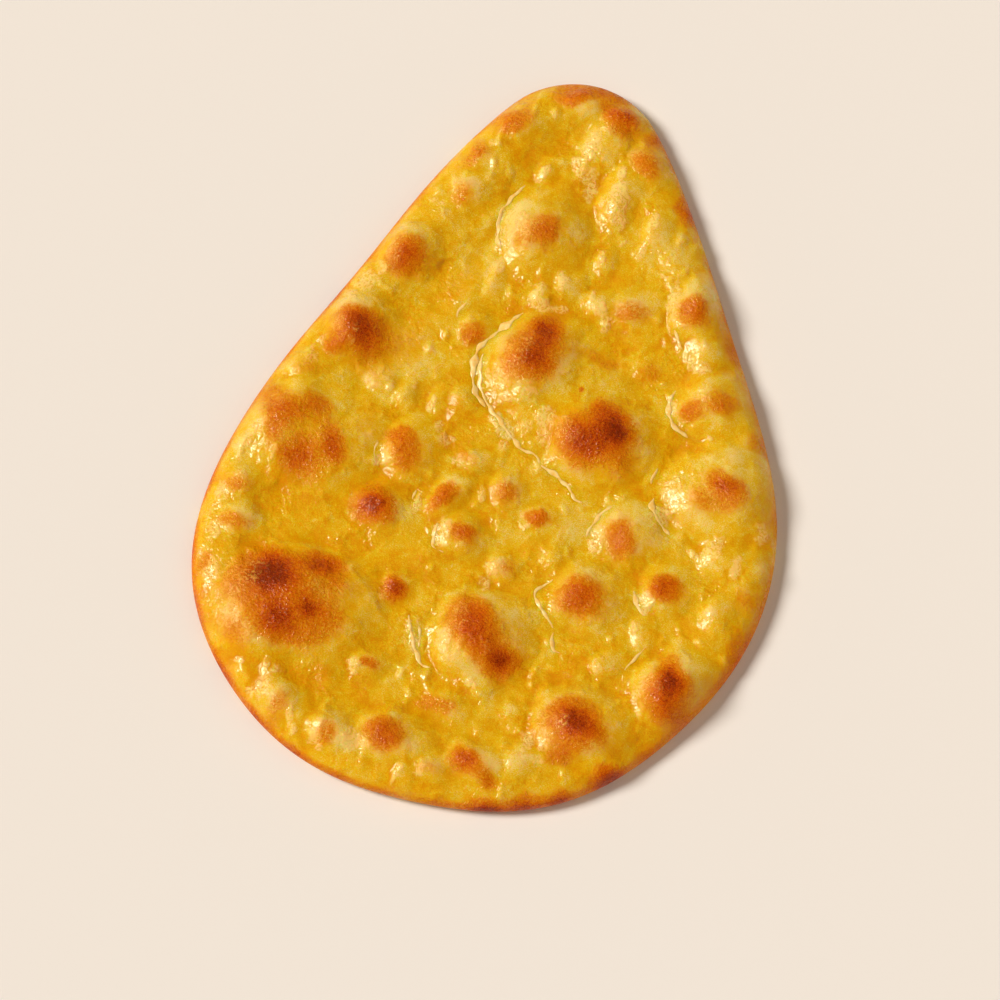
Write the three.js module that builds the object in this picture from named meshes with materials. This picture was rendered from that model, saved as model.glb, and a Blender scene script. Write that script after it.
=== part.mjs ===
// Naan bread: a hand-stretched teardrop flatbread with a puffed rim and a blistered top.
// It is one solid that rests on a flat underside. Lengths are millimetres and +Z is up.
// The tip points along +Y, and the origin is on the table under the middle of the bread.

import * as THREE from 'three';

// Driving dimensions of the outline: the soft hull of three discs.
const discs = {
  heel: { x: -13, y: -48, radius: 80 },
  cheek: { x: 4, y: -33, radius: 90 },
  tip: { x: -6, y: 98, radius: 31 },
};
const hullSoftness = 5;

// The hand-pulled edge wanders a little in and out: waves round the bread, height and start.
const edgeWaves = [
  { count: 1, height: 0.4, start: 2.0 },
  { count: 4, height: 0.7, start: 5.5 },
  { count: 5, height: 0.5, start: 0.2 },
  { count: 6, height: 0.4, start: 0.4 },
  { count: 8, height: 0.3, start: 2.2 },
  { count: 9, height: 0.25, start: 4.1 },
];

// Driving dimensions of the section.
const doughThickness = 8.5;
const edgeMiddle = 3.4;
const noseDepth = 7;
const footDepth = 5;
const rimRise = 1.6;
const rimInset = 12;
const rimWidth = 7;
const dimpleDepth = 0.7;
const dimpleLength = 34;

// Each blister is a dome: its middle, its radius at the foot and its rise above the dough.
const blisters = [
  // The great pair in the middle, and the other large ones.
  { x: 0, y: 29, radius: 17, rise: 7 },
  { x: 28, y: 7, radius: 17, rise: 7 },
  { x: -59, y: -78, radius: 23, rise: 7.5 },
  { x: 5, y: -71, radius: 18, rise: 6.5 },
  { x: -68, y: -18, radius: 19, rise: 5 },
  { x: 69, y: -3, radius: 18, rise: 5.5 },
  { x: -10, y: 73, radius: 16, rise: 5.5 },
  { x: 42, y: -93, radius: 16, rise: 5.5 },
  { x: 70, y: -75, radius: 14, rise: 5 },
  // Middle-sized ones.
  { x: -59, y: 21, radius: 13, rise: 4.5 },
  { x: -51, y: 52, radius: 10, rise: 3.5 },
  { x: -34, y: -12, radius: 11, rise: 4 },
  { x: -38, y: -35, radius: 9, rise: 3.5 },
  { x: -11, y: -40, radius: 9, rise: 3.5 },
  { x: 34, y: -49, radius: 13, rise: 4.5 },
  { x: 42, y: -25, radius: 11, rise: 4 },
  { x: 60, y: 26, radius: 12, rise: 4.5 },
  { x: 60, y: -39, radius: 9, rise: 3 },
  { x: 47, y: 57, radius: 10, rise: 4 },
  { x: -16, y: -112, radius: 12, rise: 4 },
  // Small ones.
  { x: -27, y: 108, radius: 10, rise: 2.5 },
  { x: 7, y: 116, radius: 9, rise: 2.5 },
  { x: 19, y: 103, radius: 10, rise: 2.5 },
  { x: 27, y: 53, radius: 8, rise: 2.5 },
  { x: 8, y: 66, radius: 8, rise: 2 },
  { x: 1, y: -20, radius: 7, rise: 2.5 },
  { x: 8, y: -45, radius: 7, rise: 2 },
  { x: 70, y: -24, radius: 8, rise: 2 },
  { x: 78, y: -42, radius: 7, rise: 2 },
  { x: 14, y: -113, radius: 8, rise: 2.5 },
  { x: 1, y: -95, radius: 8, rise: 2 },
  { x: -34, y: -116, radius: 8, rise: 2 },
  { x: -53, y: -110, radius: 9, rise: 2.5 },
  { x: -82, y: -46, radius: 8, rise: 2 },
];

// How finely the surface is cut: cells across the top, and rows from the edge to the foot.
const cells = 56;
const noseRings = 3;
const footRows = 4;

const rings = cells / 2;
const rimCount = 4 * cells;

// The outline as a curve. Along each outward direction the bread reaches as far as a soft
// maximum of its discs' reaches, and the slope of that reach sets the point sideways.
class Outline extends THREE.Curve {
  getPoint(t) {
    const turn = 2 * Math.PI * t;
    const outward = new THREE.Vector2(Math.cos(turn), Math.sin(turn));
    const sideways = new THREE.Vector2(-outward.y, outward.x);
    let total = 0;
    let slope = 0;
    for (const disc of Object.values(discs)) {
      const reach = disc.radius + outward.dot(disc);
      const weight = Math.exp(reach / hullSoftness);
      total += weight;
      slope += weight * sideways.dot(disc);
    }
    const reach = hullSoftness * Math.log(total);
    const along = slope / total;
    return new THREE.Vector2().addScaledVector(outward, reach).addScaledVector(sideways, along);
  }
}

// How far the uneven edge stands out from the outline, at a share of the way round it.
function edgeWander(share) {
  let wander = 0;
  for (const wave of edgeWaves) {
    wander += wave.height * Math.sin(2 * Math.PI * wave.count * share + wave.start);
  }
  return wander;
}

// Points at equal steps round the uneven edge, each with its outward normal.
function rimPoints() {
  const outline = new Outline();
  outline.arcLengthDivisions = 8 * rimCount;
  const points = [];
  for (let i = 0; i < rimCount; i += 1) {
    const share = i / rimCount;
    const tangent = outline.getTangentAt(share);
    const outward = new THREE.Vector2(tangent.y, -tangent.x);
    const place = outline.getPointAt(share).addScaledVector(outward, edgeWander(share));
    points.push({ place, outward });
  }
  return points;
}

// A point of the rim moved straight in from the edge.
function insetPoint(rimPoint, inset) {
  return rimPoint.place.clone().addScaledVector(rimPoint.outward, -inset);
}

// A quarter ellipse: 0 at the edge, 1 once the inset is as large as the depth.
function roundedRise(inset, depth) {
  const left = 1 - Math.min(inset / depth, 1);
  return Math.sqrt(1 - left * left);
}

// The blisters' rise at a point. The cubes are added, so that near domes join without doubling.
function blisterRise(x, y) {
  let cubes = 0;
  for (const blister of blisters) {
    const distance = Math.hypot(x - blister.x, y - blister.y) / blister.radius;
    if (distance < 1) {
      cubes += (blister.rise * (1 - distance ** 2) ** 1.5) ** 3;
    }
  }
  return Math.cbrt(cubes);
}

// Height of the top: dough, puffed rim, slow dimples and blisters, rounded off at the edge.
function topHeight(x, y, inset) {
  const rim = rimRise * Math.exp(-(((inset - rimInset) / rimWidth) ** 2));
  const wave = 2 * Math.PI / dimpleLength;
  const dimples = dimpleDepth * Math.sin(wave * (x + 0.4 * y)) * Math.sin(wave * (y - 0.3 * x));
  const full = doughThickness + rim + dimples + blisterRise(x, y);
  return edgeMiddle + (full - edgeMiddle) * roundedRise(inset, noseDepth);
}

// Where a point of a square grid falls once its square rings are laid out as the bread's rings:
// the ring it is on, and how far round the rim it is, in rim steps from the +X side.
function ringPlace(column, row) {
  const a = column - rings;
  const b = row - rings;
  const ring = Math.max(Math.abs(a), Math.abs(b));
  if (ring === 0) {
    return { ring, step: 0 };
  }
  const onSide = Math.abs(a) >= Math.abs(b);
  const eighths = onSide ? b / a : 2 - a / b;
  const farSide = onSide ? a < 0 : b < 0;
  const step = (eighths + (farSide ? 4 : 0)) * rimCount / 8;
  return { ring, step: (step + rimCount) % rimCount };
}

// A value between the two rim points on either side of a step.
function betweenRimPoints(points, step) {
  const low = Math.floor(step);
  const share = step - low;
  const start = points[low % rimCount];
  const end = points[(low + 1) % rimCount];
  return {
    place: start.place.clone().lerp(end.place, share),
    outward: start.outward.clone().lerp(end.outward, share).normalize(),
  };
}

// The top sheet: the outer rings follow the rounded edge, the inner ones shrink to the middle.
function topVertices(points) {
  const vertices = [];
  const innerRings = rings - noseRings;
  for (let row = 0; row <= cells; row += 1) {
    for (let column = 0; column <= cells; column += 1) {
      const { ring, step } = ringPlace(column, row);
      const rimPoint = betweenRimPoints(points, step);
      const edgeShare = Math.min((rings - ring) / noseRings, 1);
      const noseInset = noseDepth * (1 - Math.cos(edgeShare * Math.PI / 2));
      const shore = insetPoint(rimPoint, noseInset);
      const scale = Math.min(ring / innerRings, 1);
      const inset = noseInset + (1 - scale) * Math.abs(shore.dot(rimPoint.outward));
      const place = shore.multiplyScalar(scale);
      vertices.push([place.x, place.y, topHeight(place.x, place.y, inset)]);
    }
  }
  return vertices;
}

// The rows under the edge, each one round the whole bread, down to the flat foot.
function footVertices(points) {
  const vertices = [];
  for (let row = 1; row <= footRows; row += 1) {
    const turn = row / footRows * Math.PI / 2;
    for (const rimPoint of points) {
      const place = insetPoint(rimPoint, footDepth * (1 - Math.cos(turn)));
      vertices.push([place.x, place.y, edgeMiddle * (1 - Math.sin(turn))]);
    }
  }
  return vertices;
}

// The grid's own vertices along its border, in the same order as the rim points.
function borderVertices() {
  const border = new Array(rimCount);
  for (let row = 0; row <= cells; row += 1) {
    for (let column = 0; column <= cells; column += 1) {
      const { ring, step } = ringPlace(column, row);
      if (ring === rings) {
        border[Math.round(step) % rimCount] = row * (cells + 1) + column;
      }
    }
  }
  return border;
}

// Two triangles for each cell of the top, cut along the diagonal that runs out from the middle.
function topTriangles() {
  const triangles = [];
  for (let row = 0; row < cells; row += 1) {
    for (let column = 0; column < cells; column += 1) {
      const corner = row * (cells + 1) + column;
      const above = corner + cells + 1;
      if ((column < rings) === (row < rings)) {
        triangles.push(corner, corner + 1, above + 1);
        triangles.push(corner, above + 1, above);
      } else {
        triangles.push(corner, corner + 1, above);
        triangles.push(corner + 1, above + 1, above);
      }
    }
  }
  return triangles;
}

// Two triangles for each step of the band between an upper and a lower row.
function bandTriangles(upper, lower) {
  const triangles = [];
  for (let i = 0; i < rimCount; i += 1) {
    const next = (i + 1) % rimCount;
    triangles.push(upper[i], lower[i], lower[next]);
    triangles.push(upper[i], lower[next], upper[next]);
  }
  return triangles;
}

function naanGeometry() {
  const points = rimPoints();
  const top = topVertices(points);
  const foot = footVertices(points);
  const vertices = [...top, ...foot];
  const triangles = topTriangles();

  let upper = borderVertices();
  for (let row = 0; row < footRows; row += 1) {
    const first = top.length + row * rimCount;
    const lower = points.map((_, i) => first + i);
    triangles.push(...bandTriangles(upper, lower));
    upper = lower;
  }

  const footEdge = upper.map((i) => new THREE.Vector2(vertices[i][0], vertices[i][1]));
  for (const [a, b, c] of THREE.ShapeUtils.triangulateShape(footEdge, [])) {
    triangles.push(upper[a], upper[c], upper[b]);
  }

  const geometry = new THREE.BufferGeometry();
  geometry.setAttribute('position', new THREE.Float32BufferAttribute(vertices.flat(), 3));
  geometry.setIndex(triangles);
  geometry.computeBoundingBox();
  const middle = geometry.boundingBox.getCenter(new THREE.Vector3());
  geometry.translate(-middle.x, -middle.y, 0);
  geometry.computeVertexNormals();
  return geometry;
}

const crust = new THREE.MeshStandardMaterial({ color: '#dca52a', roughness: 0.4, metalness: 0 });

const naan = new THREE.Mesh(naanGeometry(), crust);
naan.name = 'naan';

const bread = new THREE.Group();
bread.add(naan);

export default bread;
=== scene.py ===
"""A naan bread: stretched by hand to a teardrop, blistered in a hot oven, brushed with butter.

The shape functions work in millimetres, with x across the bread and y along it towards the tip,
and the meshes are made in metres. The bread is one closed skin: a fine sheet for the top, rows
that follow the rounded edge down to the foot, and a coarser sheet for the underside.
"""

import math

import bpy
import numpy as np
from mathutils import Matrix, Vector


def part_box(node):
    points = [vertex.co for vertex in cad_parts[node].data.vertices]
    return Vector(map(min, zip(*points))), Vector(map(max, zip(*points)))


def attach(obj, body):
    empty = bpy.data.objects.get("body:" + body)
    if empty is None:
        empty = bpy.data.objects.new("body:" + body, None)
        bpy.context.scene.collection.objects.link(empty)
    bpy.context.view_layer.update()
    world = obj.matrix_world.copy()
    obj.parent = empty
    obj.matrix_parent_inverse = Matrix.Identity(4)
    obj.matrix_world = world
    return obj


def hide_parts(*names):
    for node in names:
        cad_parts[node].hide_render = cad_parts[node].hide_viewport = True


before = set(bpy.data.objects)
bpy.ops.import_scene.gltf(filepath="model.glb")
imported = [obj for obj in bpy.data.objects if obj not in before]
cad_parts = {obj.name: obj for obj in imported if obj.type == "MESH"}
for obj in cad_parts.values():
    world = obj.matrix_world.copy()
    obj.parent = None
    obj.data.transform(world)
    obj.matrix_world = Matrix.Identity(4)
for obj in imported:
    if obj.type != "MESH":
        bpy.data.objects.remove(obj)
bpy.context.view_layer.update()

MM = 0.001

# ---------------------------------------------------------------- the outline

# The outline is the soft hull of three discs, each given by its middle and its radius.
DISCS = ((-13, -48, 80), (4, -33, 90), (-6, 98, 31))
HULL_SOFTNESS = 5

# The hand-pulled edge wanders in and out: waves round the bread, height and start of each.
EDGE_WAVES = (
    (1, 0.4, 2.0), (4, 0.7, 5.5), (5, 0.5, 0.2),
    (6, 0.4, 0.4), (8, 0.3, 2.2), (9, 0.25, 4.1),
)

# ---------------------------------------------------------------- the section

DOUGH_THICKNESS = 8.5
EDGE_MIDDLE = 3.4
NOSE_DEPTH = 7
FOOT_DEPTH = 5
RIM_RISE, RIM_INSET, RIM_WIDTH = 1.6, 12, 7
VALLEY_DEPTH, VALLEY_INSET, VALLEY_WIDTH = 0.9, 28, 9

# Uneven dough, from broad swells to fine wrinkles: height, size and seed of each noise.
DOUGH_WAVES = ((0.6, 19, 7), (0.45, 10, 8), (0.12, 5.5, 9), (0.04, 2.8, 10))
BUTTER_THICKNESS = 0.4

# ---------------------------------------------------------------- the blisters

# Each dome's slope is longer by this share on the side towards +X, and shorter on the other
# side. Its foot lies this many times its half sizes out.
DOME_LEAN, DOME_FOOT = 0.14, 1.18

# One row each: x, y, half width, half length, turn in degrees, rise. The small domes are
# steeper at the foot and rounder on top than the large ones.
LARGE_DOMES = (
    (-3, 26, 15, 18, -14, 7.0), (25, 5, 18, 15.5, 10, 7.1), (-57, -77, 26, 21, 8, 7.5),
    (5, -70, 16, 16, 0, 6.5), (-67, -17, 21, 19, 0, 5.0), (69, -2, 19, 17, 0, 5.5),
    (-11, 72, 14, 17, 10, 5.5), (44, -91, 16, 13, 0, 5.5), (72, -72, 14, 13, 0, 5.0),
    (10, 15, 22, 24, 45, 3.0),
)
MIDDLE_DOMES = (
    (-61, 23, 12, 12, 0, 4.5), (-52, 53, 10, 10, 0, 3.5), (-33, -13, 10, 12, 0, 4.0),
    (-38, -35, 9, 9, 0, 3.5), (-9, -38, 9, 8, 0, 3.0), (-17, -27, 6, 10, -32, 2.6),
    (36, -48, 13, 12, 0, 4.5), (44, -23, 11, 12, 0, 4.0), (60, 27, 14, 12, 0, 4.0),
    (61, -39, 9, 9, 0, 3.2), (47, 58, 10, 12, 0, 4.0), (-14, -110, 13, 9, 0, 4.0),
    (27, 53, 9, 8, 0, 2.5), (11, 90, 7, 12, 0, 2.6), (1, 105, 7, 12, -20, 2.4),
    (14, -112, 9, 7, 0, 2.6), (-33, -114, 9, 7, 0, 2.6), (-51, -108, 9, 8, 0, 2.6),
)
SMALL_DOMES = (
    (-28, 108, 8, 7, 0, 2.2), (6, 117, 8, 6, 0, 2.2), (19, 104, 9, 6, -30, 2.2),
    (-11, 119, 8, 5, 0, 1.6), (-37, 93, 5, 6, 0, 1.5), (-37, 79, 7, 7, 0, 1.6),
    (-14, 93, 4, 6, 0, 1.4), (27, 82, 5, 8, 0, 1.9), (13, 67, 4, 6, 0, 1.5),
    (3, 56, 6, 6, 0, 1.8), (15, 51, 7, 6, 0, 1.8), (-4, 50, 5, 6, 0, 1.6),
    (-21, 50, 4, 7, 0, 1.2), (-22, 33, 7, 6, 0, 1.9), (33, 33, 7, 5, 0, 1.2),
    (53, 44, 7, 7, 0, 1.8), (75, 18, 6, 6, 0, 1.4), (76, -24, 9, 7, 0, 2.2),
    (86, -24, 5, 7, 0, 1.7), (79, -43, 6, 7, 0, 1.8), (57, -55, 5, 6, 0, 1.4),
    (2, -19, 6, 6, 0, 2.2), (15, -25, 6, 4, 0, 1.6), (8, -45, 6, 6, 0, 2.0),
    (-10, -12, 6, 5, 0, 1.4), (-20, 7, 6, 6, 0, 1.3), (-28, 5, 4, 7, 0, 1.3),
    (-39, 5, 4, 7, 0, 1.4), (-49, 8, 7, 6, 0, 1.6), (-24, -61, 6, 6, 0, 2.0),
    (-27, -89, 6, 6, 0, 2.3), (-39, -96, 6, 5, 0, 1.2), (48, -69, 5, 5, 0, 1.6),
    (12, -86, 6, 5, 0, 1.6), (2, -96, 9, 5, 0, 1.6), (24, -94, 6, 6, 0, 1.2),
    (33, -86, 4, 5, 0, 1.1), (3, -117, 6, 6, 0, 1.6), (-80, -52, 8, 6, 0, 2.0),
    (-82, -39, 8, 5, 0, 1.6), (-76, 5, 6, 6, 0, 1.5), (-65, -103, 6, 5, 0, 1.4),
    (60, -104, 7, 5, 0, 1.7), (30, -108, 5, 7, 0, 1.3), (53, 23, 3, 3, 0, 1.1),
    (-43, -114, 4.5, 6, 10, 1.3), (-55.5, -100, 4.5, 6, 10, 1.1), (-4.5, -122, 4.5, 5, 0, 1.1),
    (-20, 4, 5, 6, -30, 1.2), (70, -60, 5, 7, 0, 1.2), (22, -38, 5, 6, 0, 1.1),
)

# How far the outlines of domes, scorches and butter films wander: reach and size of a broad
# noise, then of a fine one.
DOME_WANDER = ((1.2, 11), (0.4, 5))
SCORCH_WANDER = ((1.3, 8), (0.5, 3.2))
FILM_WANDER = ((0.9, 6), (0.4, 2.5))

# Low folds in the dough, where a blister pulls it up: height, width, then points along each.
FOLDS = (
    (0.5, 1.5, ((-79, -55), (-65, -56.5), (-50, -56), (-36, -62.5), (-27.5, -71), (-19, -77.5))),
    (0.6, 1.4, ((28, -14), (38, -12), (46, -5), (49, 5), (47, 15))),
    (0.4, 1.6, ((-84, -30), (-76, -33), (-66, -36), (-56, -42))),
    (0.4, 1.5, ((-30, 58), (-29, 66), (-24, 77), (-17, 86), (-9, 90))),
)

# ---------------------------------------------------------------- the browning and painted shade

# One row each: x, y, half width, half length, turn in degrees, how dark it is baked or shaded.
DARK_SCORCHES = (
    (1, 36.5, 6, 7.2, -20, 0.78), (0.5, 26, 6.5, 7.5, 0, 0.74), (-5.5, 25.5, 7, 10, 0, 0.42),
    (31.5, 8, 6, 7, 30, 1.00), (24, 2.5, 9.5, 8, 0, 0.76), (17.8, 4, 6, 7.5, 0, 0.40),
    (27.5, 14.5, 5.5, 4.5, 0, 0.60), (-64.5, -67, 10, 8, 0, 0.92), (-65, -70, 6.5, 5, 0, 1.00),
    (-49.5, -60.5, 7.4, 4, 10, 0.72), (-49.5, -76.5, 4, 5, 0, 0.74), (-58.5, -83.5, 7, 6, 0, 0.74),
    (-62.5, -76, 14, 12, 0, 0.44), (-53, -87, 10, 6, 0, 0.24), (-42.5, -78, 6, 6, 0, 0.32),
    (-57.5, 20.5, 6.5, 7.5, 0, 0.68), (-61, 24.5, 6, 4.5, 0, 0.56), (-62, 21, 7, 6, 0, 0.34),
    (2.5, -66, 8.5, 9, 0, 0.68), (16, -77.5, 6, 6, 0, 0.82), (7.5, -72, 7, 6, -40, 0.50),
    (44.5, -91, 9, 7, -10, 0.86), (44.5, -94.5, 10, 8, 0, 0.32), (71.5, -71, 5, 7, 15, 0.90),
    (70, -74.5, 8, 9, 0, 0.50), (73, -80, 5, 3.6, 0, 0.34), (-38.6, -36, 6.5, 6.8, 0, 0.86),
    (-51, 51, 7, 8, 0, 0.66), (-24.2, -62, 4.2, 4.2, 0, 0.80), (61.5, -39, 6, 5, 0, 0.68),
    (35, -49.5, 8, 8, -30, 0.66), (-8, 71.5, 5, 6, 0, 0.50), (5.5, 118, 7, 4, -15, 0.66),
)
# Some light rows are painted shade, not browning: the amber along the valley behind the rim on the
# -X flank, and on the +X flank of the large blister low on the -X side.
LIGHT_SCORCHES_AND_SHADE = (
    (-12, 121.5, 7, 5, 20, 0.54), (-3, 125, 10, 3, 0, 0.40), (18, 113, 4, 4, -40, 0.50),
    (18, 103, 8, 5, -30, 0.44), (34, 91, 4, 6, 25, 0.46), (-29, 107, 7, 5, 30, 0.46),
    (-37.5, 94, 4, 5, 0, 0.30), (-39, 77, 6, 6, 0, 0.30), (-14.5, 68.5, 6, 8, 0, 0.28),
    (46.5, 56, 6, 6, -20, 0.56), (26, 51, 8, 5, 0, 0.34), (-22, 30.5, 5, 5, 0, 0.47),
    (21.5, 33, 10, 4, -8, 0.28), (38.5, 33.5, 5, 5, 0, 0.28), (16.5, 20.5, 0.9, 0.9, 0, 0.75),
    (63.5, 27.5, 6, 5, 0, 0.42), (54, 22.5, 5, 4, 0, 0.48), (77, 18, 6, 5, 0, 0.26),
    (62, 47, 3, 7, 30, 0.36), (71, 0, 7, 4, -20, 0.62), (65.5, -7.5, 7, 6, 0, 0.32),
    (43, -26.5, 6, 8, 0, 0.52), (85, -20, 6, 6, 0, 0.12), (88, -36, 6, 6, 0, 0.26),
    (90, -54, 5, 10, 0, 0.36), (88, -68, 4, 6, 0, 0.24), (2, -20, 5, 6, 0, 0.36),
    (14.5, -26, 5, 3, 0, 0.52), (9, -45, 5, 5, 0, 0.26), (-33, -15.5, 6, 8, 10, 0.44),
    (-37.5, -10.5, 5, 4, 20, 0.36), (-66.5, -26, 7, 6, 0, 0.60), (-57, -19.5, 4, 7, 25, 0.62),
    (-66, -7.5, 6, 5, -20, 0.40), (-76, -12, 8, 6, 0, 0.50), (-68, -18, 12, 11, 0, 0.12),
    (-17.5, -27.5, 3.5, 7, -32, 0.54), (-7.5, -38, 6, 4, 0, 0.58), (-13, -12, 4, 3, 0, 0.26),
    (-82, -53, 7, 4, 0, 0.34), (-84, -40, 6, 4, 0, 0.34), (-21, 6, 5, 5, 0, 0.20),
    (-73, 5, 6, 5, 0, 0.22), (-26, -88.5, 3, 3, 0, 0.50), (-40, -96, 5, 4, 0, 0.22),
    (-4.5, -96.5, 4, 3, 0, 0.32), (2.5, -97, 5, 4, 0, 0.32), (-14.5, -111, 7, 7, 0, 0.62),
    (-32.5, -115.5, 4, 5, 0, 0.36), (-50, -110, 4, 6, 0, 0.30), (-87, -68, 3, 4, 0, 0.30),
    (13.5, -112.5, 6, 5, -15, 0.74), (21.5, -117, 3, 3, 0, 0.46), (1.5, -118, 6, 4, 0, 0.22),
    (24, -126, 8, 4, 10, 0.38), (37, -121.5, 6, 4.5, 20, 0.60), (47, -118.5, 6, 4, 30, 0.50),
    (42.5, -103, 5, 4, 0, 0.36), (59, -106, 6, 4, 35, 0.58), (72, -94, 7, 4, 50, 0.40),
    (65.5, -61.5, 6, 3, 0, 0.16), (-71, -91, 8, 4, -40, 0.28), (35, -3, 10, 6, 30, 0.14),
    (-77, -74, 5, 6, 0, 0.30), (-44, -66, 5, 5, 0, 0.28), (-44, -83, 6, 5, 0, 0.18),
    (-43, 21, 9, 15, -30, 0.20), (-31, 48, 8, 17, -25, 0.19), (-54, 9, 7, 8, 0, 0.12),
    (-48, -9, 6, 12, 0, 0.16), (-62, -33, 12, 6, 0, 0.16), (-36, -66, 9, 9, 0, 0.14),
    (-66.5, 15.5, 4, 4.5, 0, 0.42), (75, -4, 4, 6, 0, 0.34), (-78, -20.5, 3.5, 6, 0, 0.36),
    (7, 112.5, 5, 3.5, -10, 0.36), (-81, -5.5, 4, 4, 0, 0.24), (-41, 89, 3, 6, -40, 0.22),
)

# How much the edge itself is darkened, partly browned by the bake and partly painted shade,
# and the turn from +X of the side that is darkened most, then the share and the depth of the
# dark line at the edge and of the warm band behind it.
EDGE_BAKE_AND_SHADE, EDGE_DARKEST_TURN = 0.74, 200
EDGE_BANDS = ((0.7, 1.2), (0.3, 4))

# Painted shade: the flanks of the blisters that face away from the key light are amber. How much,
# the turn from +X of the side they face, and the fall over twice the step, in millimetres, that
# counts as fully on that side.
LEE_SHADE, LEE_TURN, LEE_STEP, LEE_FALL = 0.22, -8, 3, 3
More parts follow.
